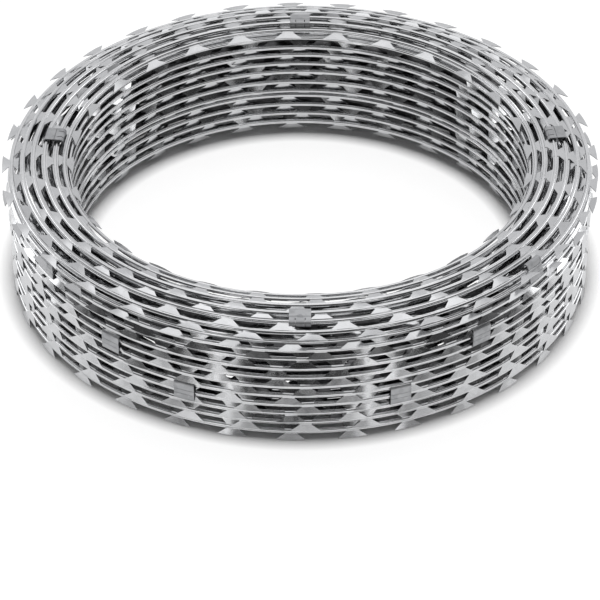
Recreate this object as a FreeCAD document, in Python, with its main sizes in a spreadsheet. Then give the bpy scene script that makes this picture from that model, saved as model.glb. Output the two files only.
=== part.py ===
"""Concertina razor wire coil: one long barbed strand wound into a bundle of turns, held by steel clips.

Frame: millimetres, +Z up along the coil's axis, origin on the floor at the middle of the bore.
The bundle of turns is one turned solid whose ribs are the turns that show on its walls and ends.
The blades that stand out of it are fused to the turns that carry them, and each clip is a piece of its own.
"""

import FreeCAD, Part
import math
import os

import Sketcher

SIZES = [
    ("coil_diameter", 450.0),      # outermost turn, centreline to centreline
    ("bundle_width", 46.0),        # innermost to outermost turn, centrelines
    ("row_pitch", 10.4),           # between turns that lie one above another
    ("strand_diameter", 3.5),      # core wire with the strip crimped round it
    ("groove_depth", 6.4),         # from a turn's outer side down to the gap between turns
    ("shoulder_drop", 11.5),       # crown of the top down to the top turn of the outer wall
    ("crown_setback", 27.0),       # innermost turn out to the crown's outermost turn
    ("crown_pitch", 9.0),          # between the crown's turns
    ("inner_drop", 2.5),           # crown of the top down to the inner rim
    ("inner_rise", 9.0),           # underside of the outer rim up to that of the inner rim
    ("blade_length", 22.0),        # tip to tip, along the strand
    ("blade_root", 9.0),           # where a blade leaves the strand
    ("blade_span", 15.0),          # across a pair of blades
    ("strip_thickness", 0.5),
    ("outer_blades", 32.0),        # pairs on one outer turn
    ("inner_blades", 28.0),        # pairs on one inner turn
    ("clip_length", 17.0),         # along the strand
    ("clip_thickness", 0.8),
    ("clip_clearance", 0.3),
    ("clip_grip", 2.2),            # how far a clip's lips reach down beside its turns
    ("clip_overhang", 2.6),        # from the end turns' centrelines out to the lips
]
WALL_ROWS = 9       # turns one above another in the outer wall
SHOULDER_TURNS = 2  # turns round the shoulder, between the outer wall and the crown
CROWN_TURNS = 3     # turns side by side across the crown of the top
BORE_ROWS = 8       # turns one above another in the wall of the bore
BOTTOM_TURNS = 2    # turns between the two rims underneath

# Column of the outer turn under each clip on the crown, from the crown's outermost turn, and the clip's azimuth.
CROWN_CLIPS = [(-1, -90), (0, 7), (1, 90), (1, 173.5)]
# Row of the lower turn under each wall clip, and the clip's azimuth.
WALL_CLIPS = [
    (7, -146), (8, -39.4), (4, -128), (5, -54), (2, -112), (2, -71), (2, 68), (5, 50), (2, 112), (5, 130),
]

# The way a turn's outer side faces, in degrees from straight out through straight up.
OUT, UP, RIM, IN, INNER_FOOT, DOWN, FOOT = 0, 90, 135, 180, 225, 270, 315

doc = FreeCAD.newDocument("RazorWireCoil")


def make_sheet():
    """The driving sizes, one named cell each."""
    sheet = doc.addObject("Spreadsheet::Sheet", "Sizes")
    for row, (name, value) in enumerate(SIZES, start=1):
        sheet.set(f"A{row}", name)
        sheet.set(f"B{row}", str(value))
        sheet.setAlias(f"B{row}", name)
    doc.recompute()
    return sheet


sheet = make_sheet()


class Driven:
    """A number worked out from the sheet's sizes, with the expression that drives it."""

    def __init__(self, text, value):
        self.text = text
        self.value = value

    def __add__(self, other):
        other = driven(other)
        return Driven(f"({self.text} + {other.text})", self.value + other.value)

    def __sub__(self, other):
        other = driven(other)
        return Driven(f"({self.text} - {other.text})", self.value - other.value)

    def __mul__(self, factor):
        factor = driven(factor)
        return Driven(f"{self.text} * {factor.text}", self.value * factor.value)

    def __truediv__(self, factor):
        return self * (1 / factor)

    def __neg__(self):
        return self * -1


def driven(number):
    return number if isinstance(number, Driven) else Driven(f"({number:.9f})", number)


def size(name):
    return Driven(f"Sizes.{name}", float(sheet.get(name)))


HALF_STRAND = size("strand_diameter") / 2
REACH = size("blade_span") / 2
OUTER_R = size("coil_diameter") / 2
INNER_R = OUTER_R - size("bundle_width")
CROWN_R = INNER_R + size("crown_setback")
BASE_Z = REACH
SHOULDER_Z = BASE_Z + size("row_pitch") * (WALL_ROWS - 1)
CROWN_Z = SHOULDER_Z + size("shoulder_drop")
INNER_TOP_Z = CROWN_Z - size("inner_drop")
INNER_BASE_Z = BASE_Z + size("inner_rise")


def facing(angle):
    """The unit direction, out and up, of an angle in degrees."""
    return math.cos(math.radians(angle)), math.sin(math.radians(angle))


class Turn:
    """One turn of the strand: which way its outer side faces, its radius and its height."""

    def __init__(self, angle, radius, height):
        self.out, self.up = facing(angle)
        self.angle = angle
        self.radius = radius
        self.height = height

    def beside(self, raised, aside):
        """The point this far outward of the centreline and this far on, anticlockwise round the section."""
        radius = self.radius + raised * self.out - aside * self.up
        height = self.height + raised * self.up + aside * self.out
        return radius, height


def shown_turns():
    """The turns that show, up the outer wall, over the top, down the bore and back underneath."""
    turns = [Turn(FOOT, OUTER_R, BASE_Z)]
    for row in range(1, WALL_ROWS):
        turns.append(Turn(OUT, OUTER_R, BASE_Z + size("row_pitch") * row))
    for step in range(1, SHOULDER_TURNS + 1):
        angle = UP * step / (SHOULDER_TURNS + 1)
        out, up = facing(angle)
        turns.append(Turn(angle, CROWN_R + (OUTER_R - CROWN_R) * out, SHOULDER_Z + size("shoulder_drop") * up))
    for column in range(CROWN_TURNS):
        turns.append(Turn(UP, CROWN_R - size("crown_pitch") * column, CROWN_Z))
    turns.append(Turn(RIM, INNER_R, INNER_TOP_Z))
    for row in range(1, BORE_ROWS - 1):
        turns.append(Turn(IN, INNER_R, INNER_TOP_Z + (INNER_BASE_Z - INNER_TOP_Z) * (row / (BORE_ROWS - 1))))
    turns.append(Turn(INNER_FOOT, INNER_R, INNER_BASE_Z))
    for column in range(1, BOTTOM_TURNS + 1):
        share = column / (BOTTOM_TURNS + 1)
        rise = size("inner_rise") * (1 - share) ** 3
        turns.append(Turn(DOWN, INNER_R + size("bundle_width") * share, BASE_Z + rise))
    return turns


def groove_bottom(turn, following):
    """The deepest point between two neighbouring turns."""
    middle = Turn(
        turn.angle + (following.angle - turn.angle) % 360 / 2,
        (turn.radius + following.radius) / 2,
        (turn.height + following.height) / 2,
    )
    return middle.beside(HALF_STRAND - size("groove_depth"), driven(0))


def bundle_outline():
    turns = shown_turns()
    points = []
    for turn, following in zip(turns, turns[1:] + turns[:1]):
        points.append(turn.beside(HALF_STRAND, driven(0)))
        points.append(groove_bottom(turn, following))
    return points


def origin_feature(body, role):
    return next(feature for feature in body.Origin.OriginFeatures if feature.Role == role)


def pin(sketch, kind, corner, place):
    """Holds one coordinate of a corner at a value driven by the sheet."""
    if place.value < 0:
        place = -place
        index = sketch.addConstraint(Sketcher.Constraint(kind, corner, 1, -1, 1, place.value))
    else:
        index = sketch.addConstraint(Sketcher.Constraint(kind, -1, 1, corner, 1, place.value))
    sketch.setExpression(f"Constraints[{index}]", place.text)


def closed_sketch(body, name, role, points, offset=None):
    """A closed polygon on one of the body's origin planes, each corner held by the sheet's sizes."""
    sketch = body.newObject("Sketcher::SketchObject", name)
    sketch.AttachmentSupport = (origin_feature(body, role), [""])
    sketch.MapMode = "FlatFace"
    if offset:
        sketch.setExpression("AttachmentOffset.Base.z", offset.text)
    places = [FreeCAD.Vector(x.value, y.value, 0) for x, y in points]
    sketch.addGeometry([Part.LineSegment(a, b) for a, b in zip(places, places[1:] + places[:1])], False)
    count = len(points)
    sketch.addConstraint([Sketcher.Constraint("Coincident", i, 2, (i + 1) % count, 1) for i in range(count)])
    for corner, (x, y) in enumerate(points):
        pin(sketch, "DistanceX", corner, x)
        pin(sketch, "DistanceY", corner, y)
    return sketch


def turned_bundle(body):
    """The section of the bundle turned about the coil's axis."""
    turned = body.newObject("PartDesign::Revolution", "Bundle")
    turned.Profile = closed_sketch(body, "BundleSection", "XZ_Plane", bundle_outline())
    turned.ReferenceAxis = (origin_feature(body, "Z_Axis"), [""])
    turned.Angle = 360.0
    body.Tip = turned
    doc.recompute()


def blade_row(body, name, turn, way, count):
    """One row of dovetail blades round a turn, lying level if they point out or in and upright if down."""
    half_root = size("blade_root") / 2
    half_tip = size("blade_length") / 2
    level = way in (OUT, IN)
    root = turn.radius if level else turn.height
    tip = root + REACH * sum(facing(way))
    corners = [(root, -half_root), (tip, -half_tip), (tip, half_tip), (root, half_root)]
    blade = body.newObject("PartDesign::Pad", name)
    if level:
        blade.Profile = closed_sketch(body, name + "Outline", "XY_Plane", corners, turn.height)
    else:
        corners = [(across, place) for place, across in corners]
        blade.Profile = closed_sketch(body, name + "Outline", "YZ_Plane", corners, turn.radius)
    blade.setExpression("Length", size("strip_thickness").text)
    blade.Midplane = True
    body.Tip = blade
    doc.recompute()
    row = body.newObject("PartDesign::PolarPattern", name + "Row")
    row.Originals = [blade]
    row.Axis = (origin_feature(body, "Z_Axis"), [""])
    row.Angle = 360.0
    row.setExpression("Occurrences", size(count).text)
    body.Tip = row
    doc.recompute()


def make_coil():
    """The bundle of turns with the blades that stand out of its rims."""
    body = doc.addObject("PartDesign::Body", "RazorWireCoil")
    body.Label = "razor_wire_coil"
    turned_bundle(body)
    blade_row(body, "ShoulderBlade", Turn(OUT, OUTER_R, SHOULDER_Z), OUT, "outer_blades")
    blade_row(body, "FootBlade", Turn(FOOT, OUTER_R, BASE_Z), DOWN, "outer_blades")
    blade_row(body, "InnerRimBlade", Turn(RIM, INNER_R, INNER_TOP_Z), IN, "inner_blades")
    blade_row(body, "InnerFootBlade", Turn(INNER_FOOT, INNER_R, INNER_BASE_Z), DOWN, "inner_blades")
    return body


def clip_outline(first, last):
    """Section of a clip bent over neighbouring turns that face the same way, its lips down beside them."""
    under = HALF_STRAND + size("clip_clearance")
    over = under + size("clip_thickness")
    tip = under - size("clip_grip")
    inside = size("clip_overhang")
    outside = inside + size("clip_thickness")
    return [
        first.beside(tip, -inside),
        first.beside(under, -inside),
        last.beside(under, inside),
        last.beside(tip, inside),
        last.beside(tip, outside),
        last.beside(over, outside),
        first.beside(over, -outside),
        first.beside(tip, -outside),
    ]


def make_clip(label, first, last, azimuth):
    """A sheet steel clip over the turns from first to last, centred on an azimuth."""
    body = doc.addObject("PartDesign::Body", label)
    body.Label = label
    band = body.newObject("PartDesign::Pad", label + "_band")
    band.Profile = closed_sketch(body, label + "_section", "XZ_Plane", clip_outline(first, last))
    band.setExpression("Length", size("clip_length").text)
    band.Midplane = True
    body.Tip = band
    body.Placement = FreeCAD.Placement(FreeCAD.Vector(), FreeCAD.Rotation(FreeCAD.Vector(0, 0, 1), azimuth))
    doc.recompute()
    return body


def make_clips():
    """Clips over two turns of the crown, and clips over two turns of the outer wall."""
    turns = shown_turns()
    crown = WALL_ROWS + SHOULDER_TURNS
    clips = []
    for number, (column, azimuth) in enumerate(CROWN_CLIPS):
        outer, inner = turns[crown + column:crown + column + 2]
        clips.append(make_clip(f"crown_clip_{number + 1}", outer, inner, azimuth))
    for number, (row, azimuth) in enumerate(WALL_CLIPS):
        clips.append(make_clip(f"wall_clip_{number + 1}", turns[row], turns[row + 1], azimuth))
    return clips


def check_state():
    for item in doc.Objects:
        if "Invalid" in item.State or "Error" in item.State:
            raise RuntimeError(f"{item.Label} failed: {item.State}")


def write_steps(pieces):
    os.makedirs("parts", exist_ok=True)
    for piece in pieces:
        shape = piece.Shape
        if shape.isNull() or not shape.isValid():
            raise RuntimeError(f"{piece.Label} has no valid shape")
        shape.exportStep(f"parts/{piece.Label}.step")
        print(piece.Label, len(shape.Solids), "solids", round(shape.Volume), "mm3", shape.BoundBox)


pieces = [make_coil()] + make_clips()
doc.recompute()
check_state()
write_steps(pieces)
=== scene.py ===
"""Looks of the concertina razor wire coil: turns of crimped strand, dovetail blades and sheet clips."""
import math
import random

import bpy
from mathutils import Matrix, Vector


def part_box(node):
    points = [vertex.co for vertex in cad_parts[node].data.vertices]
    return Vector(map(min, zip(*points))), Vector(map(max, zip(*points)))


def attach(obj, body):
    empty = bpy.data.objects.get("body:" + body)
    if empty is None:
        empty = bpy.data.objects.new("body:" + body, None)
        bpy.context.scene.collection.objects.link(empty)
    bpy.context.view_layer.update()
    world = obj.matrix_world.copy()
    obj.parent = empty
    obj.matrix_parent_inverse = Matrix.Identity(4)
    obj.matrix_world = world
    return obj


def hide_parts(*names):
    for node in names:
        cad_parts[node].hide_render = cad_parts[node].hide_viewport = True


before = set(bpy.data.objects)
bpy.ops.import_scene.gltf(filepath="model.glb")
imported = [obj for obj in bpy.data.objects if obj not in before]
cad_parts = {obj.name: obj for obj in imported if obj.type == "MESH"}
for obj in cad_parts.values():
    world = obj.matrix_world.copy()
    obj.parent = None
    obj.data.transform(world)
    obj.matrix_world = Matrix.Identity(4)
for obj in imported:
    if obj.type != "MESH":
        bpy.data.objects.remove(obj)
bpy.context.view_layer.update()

MM = 0.001
random.seed(2207)

# ---------------------------------------------------------------- camera

AIM = Vector((0.0, 0.0, 0.0445))
CAMERA_ELEVATION = math.radians(35.30)
CAMERA_PITCH = math.radians(1.632)
CAMERA_DISTANCE = 2.4069
CAMERA_LENS = 183.44


def make_camera():
    """A long lens over the front of the coil, turned a little down so that the coil sits high."""
    back = Vector((0.0, -math.cos(CAMERA_ELEVATION), math.sin(CAMERA_ELEVATION)))
    data = bpy.data.cameras.new("Camera")
    camera = bpy.data.objects.new("Camera", data)
    bpy.context.scene.collection.objects.link(camera)
    data.sensor_width = 36.0
    data.lens = CAMERA_LENS
    data.clip_start = 0.05
    data.clip_end = 60.0
    camera.location = AIM + back * CAMERA_DISTANCE
    camera.rotation_euler = (math.pi / 2 - CAMERA_ELEVATION - CAMERA_PITCH, 0.0, 0.0)
    bpy.context.scene.camera = camera


# ---------------------------------------------------------------- finishes


def node(tree, kind, **values):
    made = tree.nodes.new(kind)
    for name, value in values.items():
        setattr(made, name, value)
    return made


def galvanised(name, dark, light, rough_low, rough_high, spangle=240.0, crystal=0.3, bump=0.04):
    """Zinc coated steel: crystals of slightly different grey and gloss, with a fine grain over them."""
    material = bpy.data.materials.new(name)
    material.use_nodes = True
    tree = material.node_tree
    tree.nodes.clear()
    output = node(tree, "ShaderNodeOutputMaterial")
    shader = node(tree, "ShaderNodeBsdfPrincipled")
    shader.inputs["Metallic"].default_value = 1.0
    tree.links.new(shader.outputs["BSDF"], output.inputs["Surface"])
    place = node(tree, "ShaderNodeTexCoord")

    crystals = node(tree, "ShaderNodeTexVoronoi", feature="F1")
    crystals.inputs["Scale"].default_value = spangle
    tree.links.new(place.outputs["Object"], crystals.inputs["Vector"])
    crystal_grey = node(tree, "ShaderNodeSeparateColor")
    tree.links.new(crystals.outputs["Color"], crystal_grey.inputs["Color"])

    cloud = node(tree, "ShaderNodeTexNoise")
    cloud.inputs["Scale"].default_value = 34.0
    cloud.inputs["Detail"].default_value = 4.0
    tree.links.new(place.outputs["Object"], cloud.inputs["Vector"])

    both = node(tree, "ShaderNodeMath", operation="MULTIPLY_ADD")
    both.inputs[1].default_value = crystal
    tree.links.new(crystal_grey.outputs["Red"], both.inputs[0])
    half = node(tree, "ShaderNodeMath", operation="MULTIPLY")
    half.inputs[1].default_value = 1.0 - crystal
    tree.links.new(cloud.outputs["Fac"], half.inputs[0])
    tree.links.new(half.outputs[0], both.inputs[2])

    colour = node(tree, "ShaderNodeValToRGB")
    colour.color_ramp.elements[0].position = 0.15
    colour.color_ramp.elements[0].color = (*dark, 1.0)
    colour.color_ramp.elements[1].position = 0.80
    colour.color_ramp.elements[1].color = (*light, 1.0)
    tree.links.new(both.outputs[0], colour.inputs["Fac"])
    tree.links.new(colour.outputs["Color"], shader.inputs["Base Color"])

    gloss = node(tree, "ShaderNodeMapRange")
    gloss.inputs["To Min"].default_value = rough_low
    gloss.inputs["To Max"].default_value = rough_high
    tree.links.new(crystal_grey.outputs["Green"], gloss.inputs["Value"])
    tree.links.new(gloss.outputs["Result"], shader.inputs["Roughness"])

    if not bump:
        return material
    grain = node(tree, "ShaderNodeTexNoise")
    grain.inputs["Scale"].default_value = 900.0
    grain.inputs["Detail"].default_value = 3.0
    tree.links.new(place.outputs["Object"], grain.inputs["Vector"])
    relief = node(tree, "ShaderNodeBump")
    relief.inputs["Strength"].default_value = bump
    relief.inputs["Distance"].default_value = 0.0004
    tree.links.new(grain.outputs["Fac"], relief.inputs["Height"])
    tree.links.new(relief.outputs["Normal"], shader.inputs["Normal"])
    return material


STRAND_ZINC = galvanised(
    "Zinc_strand", (0.58, 0.585, 0.595), (0.72, 0.725, 0.735), 0.15, 0.22, crystal=0.08, bump=0.0)
BLADE_ZINC = galvanised(
    "Zinc_blade", (0.50, 0.505, 0.515), (0.64, 0.645, 0.655), 0.17, 0.25,
    spangle=200.0, crystal=0.1, bump=0.0)
# Painted shade: the hidden inner turns and their blades are the same zinc as the rest, coloured far darker
# to stand in for the shade deep inside the bundle.
PAINTED_SHADE_ZINC = galvanised(
    "Zinc_inside_painted_shade", (0.11, 0.11, 0.115), (0.20, 0.20, 0.205), 0.26, 0.40, spangle=200.0)
CLIP_ZINC = galvanised(
    "Zinc_clip", (0.30, 0.305, 0.315), (0.44, 0.445, 0.455), 0.40, 0.55, spangle=260.0)


# ---------------------------------------------------------------- working in edit mode


def select_none():
    if bpy.context.object and bpy.context.object.mode != "OBJECT":
        bpy.ops.object.mode_set(mode="OBJECT")
    bpy.ops.object.select_all(action="DESELECT")


def edit(piece, kind="VERT"):
    """Opens a piece for editing with nothing selected."""
    select_none()
    bpy.context.view_layer.objects.active = piece
    piece.select_set(True)
    bpy.ops.object.mode_set(mode="EDIT")
    bpy.ops.mesh.select_mode(type=kind)
    bpy.ops.mesh.select_all(action="DESELECT")


def choose(piece, wanted):
    """Selects the vertices whose place satisfies the test, and nothing else."""
    bpy.ops.mesh.select_all(action="DESELECT")
    bpy.ops.object.mode_set(mode="OBJECT")
    for vertex in piece.data.vertices:
        vertex.select = wanted(vertex.co)
    bpy.ops.object.mode_set(mode="EDIT")


def close_up(piece, angle=None):
    """Merges doubles, turns the faces outwards and leaves edit mode."""
    bpy.ops.mesh.select_all(action="SELECT")
    bpy.ops.mesh.remove_doubles(threshold=0.00001)
    bpy.ops.mesh.normals_make_consistent(inside=False)
    bpy.ops.object.mode_set(mode="OBJECT")
    if angle:
        bpy.ops.object.shade_smooth_by_angle(angle=math.radians(angle))
    piece.select_set(False)


def thicken(sheet, thickness, angle):
    """Gives an edited sheet its thickness in mm, half to each side, and smooths its bends."""
    close_up(sheet)
    solid = sheet.modifiers.new("Sheet", "SOLIDIFY")
    solid.thickness = thickness * MM
    solid.offset = 0.0
    bpy.context.view_layer.objects.active = sheet
    bpy.ops.object.modifier_apply(modifier=solid.name)
    edit(sheet)
    close_up(sheet, angle)
    return sheet


def settle(piece):
    """Puts a piece's place into its mesh, so that its object sits at the origin."""
    select_none()
    bpy.context.view_layer.objects.active = piece
    piece.select_set(True)
    bpy.ops.object.transform_apply(location=True, rotation=True, scale=True)
    piece.select_set(False)


def join(name, parts, material, slot, *stands_for):
    """Joins parts into one named piece of the coil."""
    select_none()
    for part in parts:
        part.select_set(True)
    bpy.context.view_layer.objects.active = parts[0]
    bpy.ops.object.join()
    piece = bpy.context.object
    piece.name = name
    piece.data.name = name
    piece.data.materials.clear()
    piece.data.materials.append(material)
    settle(piece)
    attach(piece, "root")
    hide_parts(*stands_for)
    return piece


# ---------------------------------------------------------------- the strand's turns

STEPS, COARSE_STEPS = 176, 112    # round a turn that shows, and round a hidden one
# Half of the strand's section in mm, from the crest of the channel round to the back of the core:
# the channel, the fold beside it, the strip's edge standing out, and the strip's ends closed round the core.
SECTION = (
    (1.30, 0.0), (1.18, 0.55), (0.85, 0.98), (0.22, 1.20), (0.46, 2.1),
    (0.04, 2.1), (-0.5, 1.35), (-1.0, 0.8), (-1.2, 0.0))
BLANK = 1.5    # radius of the circle whose vertices are moved out to the section


def strand_section(sides):
    """The closed outline of the strand in mm round the origin: its channel to +X, its edges to +Z and -Z."""
    select_none()
    bpy.ops.mesh.primitive_circle_add(
        vertices=sides, radius=BLANK * MM, location=(0, 0, 0), rotation=(math.pi / 2, 0, 0))
    outline = bpy.context.object
    settle(outline)
    edit(outline)
    step = 1 if sides == 16 else 2
    for number, (out, along) in enumerate(SECTION[::step]):
        turned = math.tau / sides * number
        here = Vector((BLANK * MM * math.cos(turned), 0, BLANK * MM * math.sin(turned)))
        for side in (-1, 1):
            spot = Vector((here.x, 0, side * here.z))
            choose(outline, lambda p: (p - spot).length < 0.1 * MM)
            bpy.ops.transform.translate(value=(out * MM - here.x, 0, side * (along * MM - here.z)))
            if not along:
                break
    bpy.ops.object.mode_set(mode="OBJECT")
    return outline


def strand_turn(section, radius, height, facing, steps=STEPS, lean=0.0):
    """One turn of the strand, its channel to the side that it faces (degrees, 0 out and 90 up), in mm."""
    turn = section.copy()
    turn.data = section.data.copy()
    bpy.context.scene.collection.objects.link(turn)
    turn.data.transform(
        Matrix.Translation((radius * MM, 0, height * MM)) @ Matrix.Rotation(-math.radians(facing), 4, "Y"))
    edit(turn)
    bpy.ops.mesh.select_all(action="SELECT")
    bpy.ops.mesh.spin(steps=steps, angle=math.tau, center=(0, 0, height * MM), axis=(0, 0, 1))
    close_up(turn, 40)
    if lean:
        way = random.uniform(0, 360)
        turn.data.transform(
            Matrix.Translation((0, 0, height * MM)) @ Matrix.Rotation(math.radians(lean), 4,
            Vector((math.cos(way), math.sin(way), 0))) @ Matrix.Translation((0, 0, -height * MM)))
    return turn


# ---------------------------------------------------------------- the blades

BLADE_ROOT, BLADE_TIP, BLADE_REACH, SHEET = 9.0, 22.0, 7.6, 0.42
ROOT_OUT = 0.3      # from the strand's centreline out to the sheet at the blades' roots
HIDDEN_SINK = 0.1   # how much lower the sheet lies at the root of the tucked blade
ROOT_EDGE = 2.5     # across the strand, where the showing blade bends away from its root
HIDDEN_EDGE = 1.9   # across the strand, where the other blade leaves it from under the strip's edge
CURL = 0.7          # how far a blade's points bend back


def blade_cluster(lift, tuck, full=True):
    """Both blades of one cluster in mm round the origin: outwards is +X, along the strand +Y.
    The blade to -Z shows, bent out by the lift, and the one to +Z is tucked back, both in degrees."""
    select_none()
    bpy.ops.mesh.primitive_grid_add(x_subdivisions=1, y_subdivisions=3 if full else 1, size=1.0)
    cluster = bpy.context.object
    cluster.data.transform(
        Matrix.Translation((ROOT_OUT * MM, 0, 0)) @ Matrix.Rotation(-math.pi / 2, 4, "Y")
        @ Matrix.Diagonal((2 * ROOT_EDGE * MM, BLADE_ROOT * MM, 1, 1)))
    edit(cluster)
    choose(cluster, lambda p: p.z > 0)
    bpy.ops.transform.translate(value=(-HIDDEN_SINK * MM, 0, (HIDDEN_EDGE - ROOT_EDGE) * MM))
    for side, edge, bend in ((-1, ROOT_EDGE, math.radians(lift)), (1, HIDDEN_EDGE, -math.radians(tuck))):
        reach = (BLADE_REACH - edge) * MM
        choose(cluster, lambda p: p.z * side > edge * 0.95 * MM)
        bpy.ops.mesh.extrude_edges_move(
            TRANSFORM_OT_translate={"value": (reach * math.sin(bend), 0, side * reach * math.cos(bend))})
        bpy.ops.transform.resize(value=(1, BLADE_TIP / BLADE_ROOT, 1), center_override=(0, 0, 0))
    if full:
        choose(cluster, lambda p: abs(p.y) > BLADE_ROOT * 0.6 * MM)
        bpy.ops.transform.translate(value=(-CURL * MM, 0, 0))
    return thicken(cluster, SHEET, 18)


def blade_row(count, radius, height, facing, phase, lift, tuck, side=-1, full=True):
    """Clusters round one turn, the first at the phase from the front. The showing blades lie
    backwards round the section, or onwards if the side is 1."""
    pattern = blade_cluster(lift, tuck, full)
    row = []
    row_lean = random.uniform(-2.0, 2.0)
    row_yaw = random.uniform(-2.0, 2.0)
    turned = Matrix.Identity(4) if side < 0 else Matrix.Rotation(math.pi, 4, "X")
    for number in range(count):
        azimuth = -90 + phase + 360 / count * number + random.uniform(-0.3, 0.3)
        lean = facing - side * (row_lean + random.uniform(-1.5, 1.5))
        yaw = row_yaw + random.uniform(-1.2, 1.2)
        blade = pattern.copy()
        blade.data = pattern.data.copy()
        bpy.context.scene.collection.objects.link(blade)
        blade.data.transform(
            Matrix.Rotation(math.radians(azimuth), 4, "Z")
            @ Matrix.Translation((radius * MM, 0, height * MM))
            @ Matrix.Rotation(-math.radians(lean), 4, "Y")
            @ Matrix.Rotation(math.radians(yaw), 4, "Z")
            @ turned)
        row.append(blade)
    bpy.data.objects.remove(pattern)
    return row


# ---------------------------------------------------------------- the bundle

OUTER_R, INNER_R = 225.0, 179.0
MIDDLE_R = (OUTER_R + INNER_R) / 2
OUTER_BLADES, INNER_BLADES, HIDDEN_BLADES = 32, 28, 30
BARED = 12.0    # hidden turns this far from the middle of the bundle show through, so they have blades

# Height, phase and lift of the turns of the outer wall, from the foot up.
OUTER_WALL = [(7.8 + 8.33 * row, phase, lift) for row, (phase, lift) in enumerate((
    (-1.5, 22), (1.25, 20), (-1.6, 20), (1.25, 21), (-1.9, 20), (1.25, 21),
    (-4.0, 21), (-4.4, 23), (0.25, 28), (3.75, 40)))]
# Radius, height, facing, number of blades, phase, lift, tuck and side
# of the turns over the shoulder and the crown.
CROWN = [
    (225.2, 90.9, 40, 32, -1.2, 28, 40, -1),
    (223.2, 97.0, 80, 32, 2.2, 6, 25, -1),
    (214.8, 100.2, 72, 32, -3.0, 0, 38, -1),
    (206.4, 101.7, 84, 30, 4.5, -6, 44, -1),
    (198.0, 102.3, 90, 28, -0.5, -6, 44, -1),
    (189.6, 101.6, 96, 28, 3.6, -6, 44, -1),
    (182.4, 99.6, 120, 28, 3.0, 4, 30, 1),
]
# Radius, height and facing of the turns that lie in the hollows between those of the crown.
CROWN_HOLLOWS = [
    (217.0, 93.8, 52), (210.6, 95.0, 74), (202.2, 95.0, 87),
    (193.8, 94.6, 93), (185.6, 93.6, 108), (178.8, 94.4, 172)]
# Radius, height and phase of the turns down the bore.
BORE_WALL = [
    (INNER_R, 85.9, 0.3), (INNER_R, 78.4, 3.2), (INNER_R, 70.2, 4.2), (INNER_R, 61.9, -1.1),
    (182.2, 59.4, 3.2), (INNER_R, 52.0, 4.3), (INNER_R, 43.2, -1.1), (INNER_R, 38.8, 3.3),
    (INNER_R, 29.9, 4.2), (INNER_R, 21.0, -0.9), (INNER_R, 12.6, 2.4)]
# Radius, height and phase of the turns underneath.
UNDERSIDE = [(187.5, 9.6, 0.0), (196.5, 8.4, 3.5), (206.0, 7.9, -2.5), (215.5, 7.7, 1.0)]
# Radius and height of the hidden turns, in four columns from the outer wall to the bore.
INNER_LAYER = (
    [(216.0, 16.2 + 8.33 * row) for row in range(10)]
    + [(207.2, 21.0 + 14.3 * row) for row in range(6)]
    + [(197.8, 21.0 + 14.3 * row) for row in range(6)]
    + [(188.6, 20.0 + 8.75 * row) for row in range(9)]
)


def make_bundle():
    fine = strand_section(16)
    coarse = strand_section(8)

    turns, blades = [], []
    for height, phase, lift in OUTER_WALL:
        turns.append(strand_turn(fine, OUTER_R, height, random.uniform(-4, 8), lean=0.05))
        blades += blade_row(OUTER_BLADES, OUTER_R, height, 0, phase, lift, 30)
    join("outer_wall_turns", turns, STRAND_ZINC, "strand", "razor_wire_coil")
    join("outer_wall_blades", blades, BLADE_ZINC, "strand", "razor_wire_coil")

    turns, blades = [], []
    for radius, height, facing, count, phase, lift, tuck, side in CROWN:
        turns.append(strand_turn(fine, radius, height, facing + random.uniform(-5, 5), lean=0.04))
        blades += blade_row(count, radius, height, facing, phase, lift, tuck, side)
    for radius, height, facing in CROWN_HOLLOWS:
        turns.append(strand_turn(fine, radius, height, facing, lean=0.08))
    join("crown_turns", turns, STRAND_ZINC, "strand", "razor_wire_coil")
    join("crown_blades", blades, BLADE_ZINC, "strand", "razor_wire_coil")

    turns, blades = [], []
    for radius, height, phase in BORE_WALL:
        turns.append(strand_turn(fine, radius, height, 180 + random.uniform(6, 14), lean=0.04))
        blades += blade_row(INNER_BLADES, radius, height, 180, phase, -18, 30, 1)
    join("bore_wall_turns", turns, STRAND_ZINC, "strand", "razor_wire_coil")
    join("bore_wall_blades", blades, BLADE_ZINC, "strand", "razor_wire_coil")

    turns, blades = [], []
    for radius, height, phase in UNDERSIDE:
        turns.append(strand_turn(fine, radius, height, 270, lean=0.03))
        blades += blade_row(HIDDEN_BLADES, radius, height, 270, phase, -4, 25, 1)
    join("underside_turns", turns, STRAND_ZINC, "strand", "razor_wire_coil")
    join("underside_blades", blades, BLADE_ZINC, "strand", "razor_wire_coil")

    turns, blades = [], []
    for radius, height in INNER_LAYER:
        facing, side = (0, -1) if radius > MIDDLE_R else (180, 1)
        turns.append(strand_turn(coarse, radius, height, facing, steps=COARSE_STEPS, lean=0.05))
        if abs(radius - MIDDLE_R) > BARED:
            phase = random.uniform(-6, 6)
            blades += blade_row(HIDDEN_BLADES, radius, height, facing, phase, 10, 30, side, full=False)
    # Painted shade: the inner turns and blades take the darkened zinc in place of the shade inside the
    # bundle.
    join("inner_layer_turns", turns, PAINTED_SHADE_ZINC, "strand", "razor_wire_coil")
    join("inner_layer_blades", blades, PAINTED_SHADE_ZINC, "strand", "razor_wire_coil")

    for outline in (fine, coarse):
        bpy.data.objects.remove(outline)


# ---------------------------------------------------------------- the clips

CLIP_LENGTH, CLIP_SHEET = 16.0, 0.8
CLIP_TOP = 3.05     # from the turns' centreline up to a clip's outer side
CLIP_RISE = 2.45    # from the turns' centreline up to the middle of a clip's sheet
FINGER_EDGES = (-8.0, -4.0, -3.4, 3.2, 3.8, 8.0)   # along the strand, fingers with slits between them
SEAM_HALF, SEAM_DIP = 0.35, 0.55                   # a seam pressed across the sheet
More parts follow.
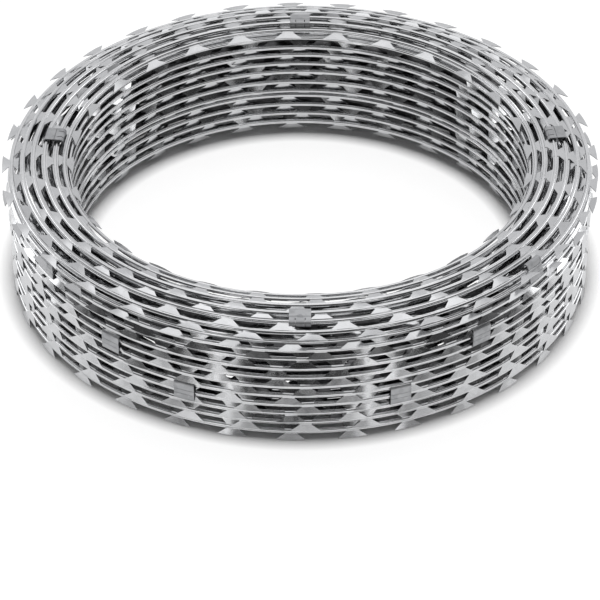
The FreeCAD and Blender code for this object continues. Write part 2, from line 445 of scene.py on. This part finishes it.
# Steps out from the strand and across it that curl the upper and the lower end down beside the turns.
HEAD_BEND = ((0.0, 3.4), (-0.35, 0.9), (-1.4, 0.85), (-1.3, 0.0), (-0.9, -0.75))
FOOT_BEND = ((-0.35, -0.8), (-1.4, -0.7), (-1.3, 0.0), (-0.9, 0.7))


def curl_end(clip, end, bend, low, high):
    """Extrudes the end of a clip, between two places along the strand, through the steps of a bend."""
    rise = CLIP_RISE
    for out, across in bend:
        choose(clip, lambda p: abs(p.z - end * MM) < 0.02 * MM and abs(p.x - rise * MM) < 0.02 * MM
               and (low - 0.01) * MM < p.y < (high + 0.01) * MM)
        bpy.ops.mesh.extrude_edges_move(TRANSFORM_OT_translate={"value": (out * MM, 0, across * MM)})
        end += across
        rise += out


def bent_clip(half_pitch, seams, slit):
    """A clip over two turns in mm round the origin: outwards is +X, along the strand +Y, across it +Z.
    Its ends curl down beside the turns, and the upper end may be slit into fingers."""
    select_none()
    flat_from, flat_to = -(half_pitch + 1.3), half_pitch - 2.4
    bpy.ops.mesh.primitive_plane_add(size=1.0)
    clip = bpy.context.object
    clip.data.transform(
        Matrix.Rotation(-math.pi / 2, 4, "Y") @ Matrix.Diagonal((1 * MM, CLIP_LENGTH * MM, 1, 1)))
    clip.data.transform(Matrix.Translation((CLIP_RISE * MM, 0, (flat_from + 0.5) * MM)))
    edit(clip)
    for edge in FINGER_EDGES[1:-1]:
        bpy.ops.mesh.select_all(action="SELECT")
        bpy.ops.mesh.bisect(plane_co=(0, edge * MM, 0), plane_no=(0, 1, 0))
    top = flat_from + 1.0
    for seam in seams:
        for to, dip in ((seam - SEAM_HALF, 0.0), (seam, -SEAM_DIP), (seam + SEAM_HALF, SEAM_DIP)):
            choose(clip, lambda p: p.z > (top - 0.01) * MM)
            bpy.ops.mesh.extrude_edges_move(TRANSFORM_OT_translate={"value": (dip * MM, 0, (to - top) * MM)})
            top = to
    choose(clip, lambda p: p.z > (top - 0.01) * MM)
    bpy.ops.mesh.extrude_edges_move(TRANSFORM_OT_translate={"value": (0, 0, (flat_to - top) * MM)})
    for number, (low, high) in enumerate(zip(FINGER_EDGES, FINGER_EDGES[1:])):
        if not (slit and number % 2):
            curl_end(clip, flat_to, HEAD_BEND, low, high)
    curl_end(clip, flat_from, FOOT_BEND, FINGER_EDGES[0], FINGER_EDGES[-1])
    return thicken(clip, CLIP_SHEET, 50)


# Which way the clips that lean face, in degrees from straight out to straight up.
CLIP_FACING = {"crown_clip_1": 75.0, "wall_clip_2": 15.0}
CLIP_REVERSED = ("crown_clip_1",)


def make_clips():
    """One bent clip in the place of each clip of the frame."""
    crown = bent_clip(half_pitch=4.5, seams=(0.4,), slit=True)
    wall = bent_clip(half_pitch=5.2, seams=(-2.6, 1.2), slit=False)
    for name in sorted(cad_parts):
        if name == "razor_wire_coil":
            continue
        on_crown = name.startswith("crown")
        facing = math.radians(CLIP_FACING.get(name, 90.0 if on_crown else 0.0))
        low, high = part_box(name)
        middle = (low + high) / 2
        azimuth = math.atan2(middle.y, middle.x)
        around = Matrix.Rotation(azimuth, 4, "Z")
        corners = [around.inverted() @ vertex.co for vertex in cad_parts[name].data.vertices]
        out = max(corner.x * math.cos(facing) + corner.z * math.sin(facing) for corner in corners)
        across = [-corner.x * math.sin(facing) + corner.z * math.cos(facing) for corner in corners]
        pattern = crown if on_crown else wall
        clip = pattern.copy()
        clip.data = pattern.data.copy()
        bpy.context.scene.collection.objects.link(clip)
        clip.name = name + "_sheet"
        clip.data.transform(
            around @ Matrix.Rotation(-facing, 4, "Y")
            @ Matrix.Translation((out - CLIP_TOP * MM, 0, (min(across) + max(across)) / 2))
            @ Matrix.Rotation(math.pi if name in CLIP_REVERSED else 0.0, 4, "X"))
        clip.data.materials.append(CLIP_ZINC)
        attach(clip, "root")
        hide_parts(name)
    for pattern in (crown, wall):
        bpy.data.objects.remove(pattern)


# ---------------------------------------------------------------- floor and light


FLOOR_GLOW, GLOW_SHARE = 1.4, 0.6
RING_R = 0.203                         # middle of the ring of floor that the coil covers
UNLIT_WIDTH, LIT_WIDTH = 0.022, 0.036  # from that middle, where the glow starts and where it is full


def make_stage():
    """A pale floor with the coil's shadow, glowing to the camera and in the zinc except under the coil."""
    select_none()
    bpy.ops.mesh.primitive_circle_add(vertices=96, radius=14.0, fill_type="NGON", location=(0, 0, -0.0002))
    floor = bpy.context.object
    floor.name = "floor"
    settle(floor)
    paper = bpy.data.materials.new("Pale_floor")
    paper.use_nodes = True
    tree = paper.node_tree
    shader = tree.nodes["Principled BSDF"]
    shader.inputs["Base Color"].default_value = (0.95, 0.95, 0.95, 1.0)
    shader.inputs["Roughness"].default_value = 0.9
    shader.inputs["Specular IOR Level"].default_value = 0.1
    glow = node(tree, "ShaderNodeEmission")
    glow.inputs["Strength"].default_value = FLOOR_GLOW
    path = node(tree, "ShaderNodeLightPath")
    seen = node(tree, "ShaderNodeMath", operation="MAXIMUM")
    tree.links.new(path.outputs["Is Camera Ray"], seen.inputs[0])
    tree.links.new(path.outputs["Is Glossy Ray"], seen.inputs[1])
    place = node(tree, "ShaderNodeTexCoord")
    reach = node(tree, "ShaderNodeVectorMath", operation="LENGTH")
    tree.links.new(place.outputs["Object"], reach.inputs[0])
    beside = node(tree, "ShaderNodeMath", operation="SUBTRACT")
    beside.inputs[1].default_value = RING_R
    tree.links.new(reach.outputs["Value"], beside.inputs[0])
    away = node(tree, "ShaderNodeMath", operation="ABSOLUTE")
    tree.links.new(beside.outputs[0], away.inputs[0])
    clear = node(tree, "ShaderNodeMapRange")
    clear.inputs["From Min"].default_value = UNLIT_WIDTH
    clear.inputs["From Max"].default_value = LIT_WIDTH
    clear.inputs["To Max"].default_value = GLOW_SHARE
    tree.links.new(away.outputs[0], clear.inputs["Value"])
    share = node(tree, "ShaderNodeMath", operation="MULTIPLY")
    tree.links.new(clear.outputs["Result"], share.inputs[1])
    tree.links.new(seen.outputs[0], share.inputs[0])
    white = node(tree, "ShaderNodeMixShader")
    tree.links.new(share.outputs[0], white.inputs["Fac"])
    tree.links.new(shader.outputs["BSDF"], white.inputs[1])
    tree.links.new(glow.outputs["Emission"], white.inputs[2])
    tree.links.new(white.outputs["Shader"], tree.nodes["Material Output"].inputs["Surface"])
    floor.data.materials.append(paper)


BRIGHTEST = Vector((0.0, 0.88, 0.475))    # towards the brightest part of the room
DARK_SIDE, BRIGHT_SIDE = -0.6, 1.0        # cosines from it where the ramp of greys starts and ends
ROOM_GREYS = ((0.0, 0.03), (0.35, 0.06), (0.6, 0.38), (0.85, 0.76), (1.0, 0.88))
LAMP_AIM = Vector((0.0, 0.0, 0.05))
# Name, place, width, length and watts of each lamp.
LAMPS = (
    ("Top_softbox", (0.2, 0.5, 2.6), 3.4, 2.4, 17.0),
    ("Front_softbox", (0.0, -1.9, 2.1), 2.6, 0.9, 2.0),
    ("Left_strip", (-0.95, -1.85, 0.55), 0.35, 1.1, 1.8),
    ("Right_strip", (0.95, -1.85, 0.55), 0.30, 1.1, 1.5),
    ("Left_side", (-2.2, 0.9, 0.6), 1.6, 0.8, 9.0),
    ("Right_side", (2.2, 0.9, 0.6), 1.6, 0.8, 9.0),
)


def make_world():
    """A soft studio: one broad light high behind the coil, falling off to the dark of the room in front."""
    world = bpy.data.worlds.new("Studio")
    bpy.context.scene.world = world
    world.use_nodes = True
    tree = world.node_tree
    background = tree.nodes["Background"]
    place = node(tree, "ShaderNodeTexCoord")
    towards = node(tree, "ShaderNodeVectorMath", operation="DOT_PRODUCT")
    towards.inputs[1].default_value = BRIGHTEST
    tree.links.new(place.outputs["Generated"], towards.inputs[0])
    spread = node(tree, "ShaderNodeMapRange")
    spread.inputs["From Min"].default_value = DARK_SIDE
    spread.inputs["From Max"].default_value = BRIGHT_SIDE
    tree.links.new(towards.outputs["Value"], spread.inputs["Value"])
    ramp = node(tree, "ShaderNodeValToRGB")
    while len(ramp.color_ramp.elements) < len(ROOM_GREYS):
        ramp.color_ramp.elements.new(0.5)
    for element, (position, grey) in zip(ramp.color_ramp.elements, ROOM_GREYS):
        element.position = position
        element.color = (grey, grey, grey * 1.01, 1.0)
    tree.links.new(spread.outputs["Result"], ramp.inputs["Fac"])
    tree.links.new(ramp.outputs["Color"], background.inputs["Color"])
    background.inputs["Strength"].default_value = 1.0


def make_lamps():
    for name, place, width, length, watts in LAMPS:
        data = bpy.data.lights.new(name, "AREA")
        data.shape = "RECTANGLE"
        data.size = width
        data.size_y = length
        data.energy = watts
        light = bpy.data.objects.new(name, data)
        bpy.context.scene.collection.objects.link(light)
        light.location = place
        light.rotation_euler = (LAMP_AIM - light.location).to_track_quat("-Z", "Y").to_euler()


make_camera()
make_bundle()
make_clips()
make_stage()
make_world()
make_lamps()

view = bpy.context.scene.view_settings
view.view_transform = "Standard"
